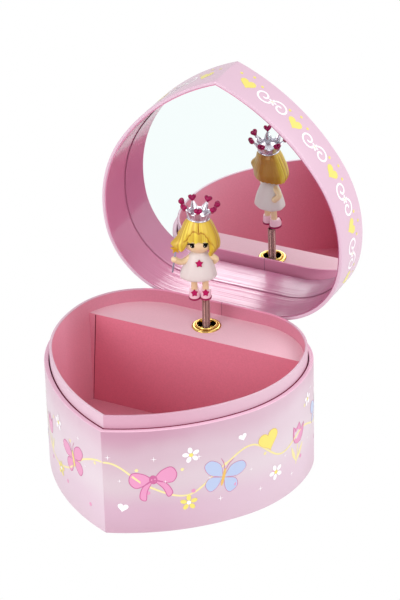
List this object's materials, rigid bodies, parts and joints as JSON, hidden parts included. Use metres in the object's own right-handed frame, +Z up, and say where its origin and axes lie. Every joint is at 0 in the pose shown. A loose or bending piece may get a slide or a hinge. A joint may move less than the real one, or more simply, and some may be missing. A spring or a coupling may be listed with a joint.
{
  "type": "ballerina jewellery box",
  "caption": "Heart-shaped musical jewellery box of covered card with a hinged mirror lid, a lined compartment and a small turning figure on a spring stem above a wind-up movement",
  "frame": {"origin": "on the resting plane under the heart, 90 mm behind its front tip, on the centre line", "axes": "+X to the right seen from the front tip, +Y to the hinged back, +Z up; the lid is open as in the picture"},
  "size_m": [0.151, 0.174, 0.2101],
  "materials": {
    "pink_card": "satin printed paper over card",
    "grey_card": "plain card",
    "rose_flock": "matt flock",
    "pale_flock": "matt flock",
    "gloss_liner": "gloss paper",
    "hinge_cloth": "woven tape",
    "mirror_glass": "silvered glass",
    "brass": "polished",
    "steel": "plain",
    "cast_plate": "as cast",
    "key_plate": "plated",
    "skin": "painted",
    "hair_gold": "painted",
    "dress_white": "painted",
    "magenta": "painted",
    "silver_paint": "silver painted",
    "gold_paint": "gold painted"
  },
  "bodies": {
    "box": {"bay_panel": "rose_flock", "bay_shelf": "pale_flock", "bed_screw_left": "steel", "bed_screw_right": "steel", "bedplate": "cast_plate", "bottom_board": "grey_card", "bridge_pillar": "steel", "comb_post": "cast_plate", "comb_screw_high": "steel", "comb_screw_low": "steel", "eyelet_ring": "brass", "eyelet_washer": "brass", "floor_pad": "rose_flock", "governor_bracket": "steel", "hinge_tape_base": "hinge_cloth", "inner_collar": "pink_card", "music_comb": "steel", "outer_wall": "pink_card", "ratchet_click": "steel", "shelf_cleat": "grey_card", "spacer_left": "grey_card", "spacer_right": "grey_card", "spindle_bridge": "steel"},
    "lid": {"lid_wall": "pink_card", "lid_top": "pink_card", "lid_liner": "gloss_liner", "mirror_backing": "grey_card", "lid_mirror": "mirror_glass", "hinge_tape_lid": "hinge_cloth"},
    "barrel": {"spring_barrel": "cast_plate", "barrel_cap": "cast_plate", "barrel_gear": "brass", "mainspring": "steel"},
    "winder": {"winding_arbor": "steel", "ratchet_wheel": "steel", "winding_key": "key_plate"},
    "drum": {"drum_spindle": "steel", "drum_pinion": "brass", "drum_wheel": "brass", "music_drum": "brass", "spring_chuck": "brass"},
    "fly": {"governor_fly": "steel"},
    "stem": {"stem_spring": "key_plate"},
    "doll": {"doll_arm_left": "skin", "doll_arm_right": "skin", "doll_crown": "silver_paint", "doll_dress": "dress_white", "doll_hair": "hair_gold", "doll_head": "skin", "doll_leg_left": "skin", "doll_leg_right": "skin", "doll_shoe_left": "dress_white", "doll_shoe_right": "dress_white", "doll_sole_left": "magenta", "doll_sole_right": "magenta", "doll_wand": "silver_paint", "crown_hearts": "magenta", "wand_star": "gold_paint", "dress_star": "magenta"}
  },
  "joints": [
    {"name": "lid_hinge", "type": "hinge", "parent": "box", "child": "lid", "pos_m": [0, 0.05457, 0.065], "axis": [1, 0, 0], "range_deg": [0, 89]},
    {"name": "doll_fold", "type": "hinge", "parent": "box", "child": "stem", "pos_m": [0, 0.03497, 0.0767], "axis": [1, 0, 0], "range_deg": [0, 99], "deforming": ["stem_spring"]},
    {"name": "drum_spin", "type": "hinge", "parent": "box", "child": "drum", "pos_m": [0, 0.03497, 0.05], "axis": [0, 0, 1], "continuous": true},
    {"name": "doll_spin", "type": "hinge", "parent": "stem", "child": "doll", "pos_m": [0, 0.03497, 0.0851], "axis": [0, 0, 1], "continuous": true},
    {"name": "barrel_spin", "type": "hinge", "parent": "box", "child": "barrel", "pos_m": [-0.0156, 0.03497, 0.03], "axis": [0, 0, 1], "continuous": true},
    {"name": "fly_spin", "type": "hinge", "parent": "box", "child": "fly", "pos_m": [0.012, 0.03497, 0.03], "axis": [0, 0, 1], "continuous": true},
    {"name": "key_turn", "type": "hinge", "parent": "box", "child": "winder", "pos_m": [-0.0156, 0.03497, 0.01], "axis": [0, 0, 1], "continuous": true}
  ],
  "couplings": [
    {"joint": "doll_fold", "follows": "lid_hinge", "ratio": 1.1124},
    {"joint": "drum_spin", "follows": "doll_spin", "ratio": 1},
    {"joint": "barrel_spin", "follows": "doll_spin", "ratio": -0.36842},
    {"joint": "fly_spin", "follows": "doll_spin", "ratio": -4}
  ]
}
